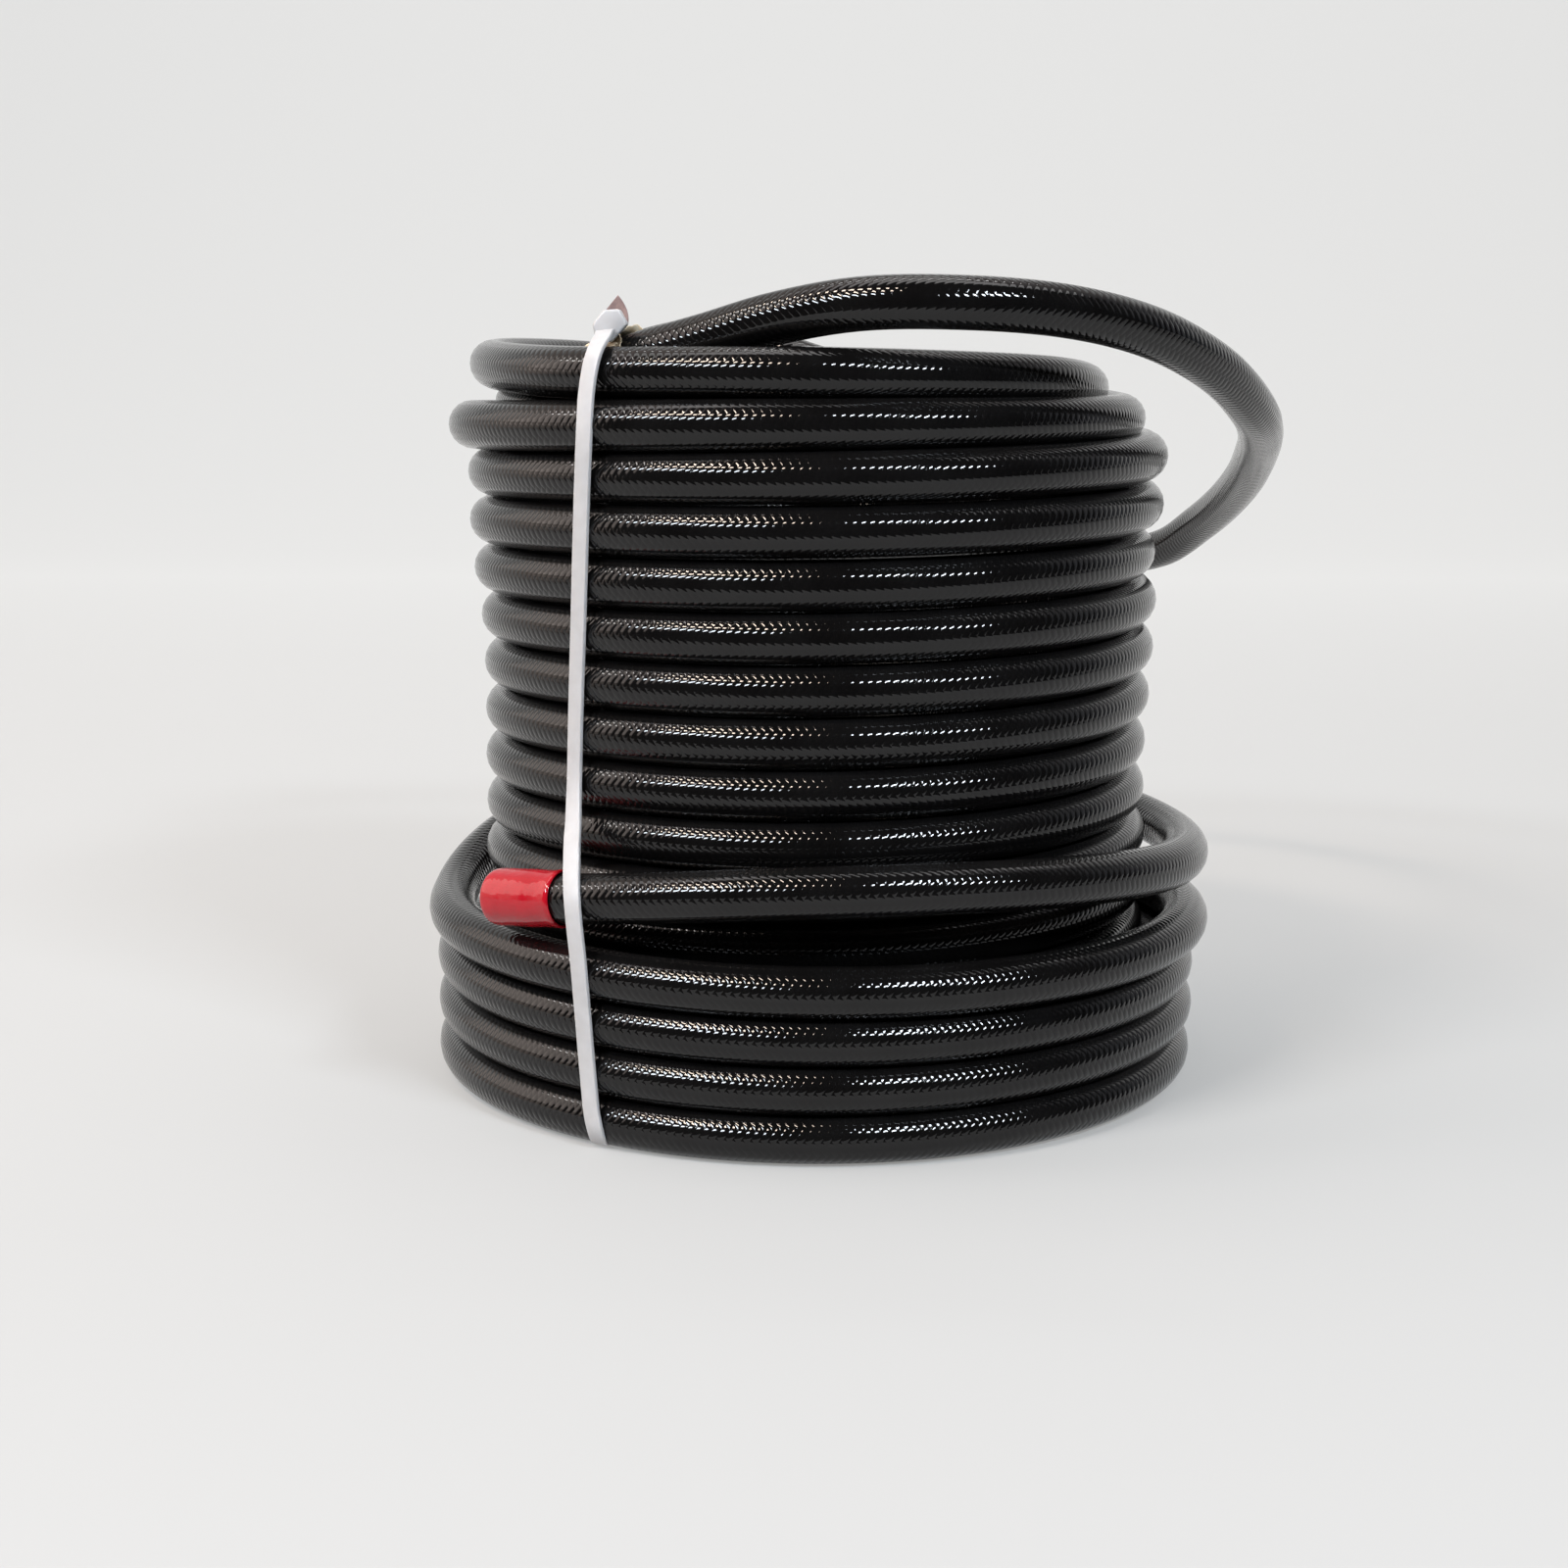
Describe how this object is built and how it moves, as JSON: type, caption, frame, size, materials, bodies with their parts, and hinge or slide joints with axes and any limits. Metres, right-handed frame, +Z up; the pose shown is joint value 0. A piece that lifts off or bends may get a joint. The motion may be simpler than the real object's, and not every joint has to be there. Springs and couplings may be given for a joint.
{
  "type": "fuel hose",
  "caption": "Coil of black braided fuel hose: a tall column of turns with a wider winding round its foot, a free loop over the top, and a cable tie round the bundle.",
  "frame": {"origin": "on the surface that the coil stands on, below the middle of the whole coil's box, its free loop included", "axes": "+Z up along the coil's axis; -Y faces the viewer of the picture; +X to the viewer's right; the free loop reaches out behind, along +Y"},
  "size_m": [0.2506, 0.3316, 0.2168],
  "materials": {
    "hose_jacket": "glossy black jacket drawn tight over a steel braid, so the braid's weave shows as relief",
    "red_vinyl": "glossy red vinyl",
    "masking_tape": "matt cream paper tape, browner on its gummed side",
    "tie_nylon": "natural white nylon, satin"
  },
  "bodies": {
    "root": {"hose_inner_coil": "hose_jacket", "hose_outer_coil": "hose_jacket", "hose_top_loop": "hose_jacket", "hose_capped_tail": "hose_jacket", "red_end_sleeve": "red_vinyl", "end_tape": "masking_tape", "cable_tie": "tie_nylon"}
  },
  "joints": []
}
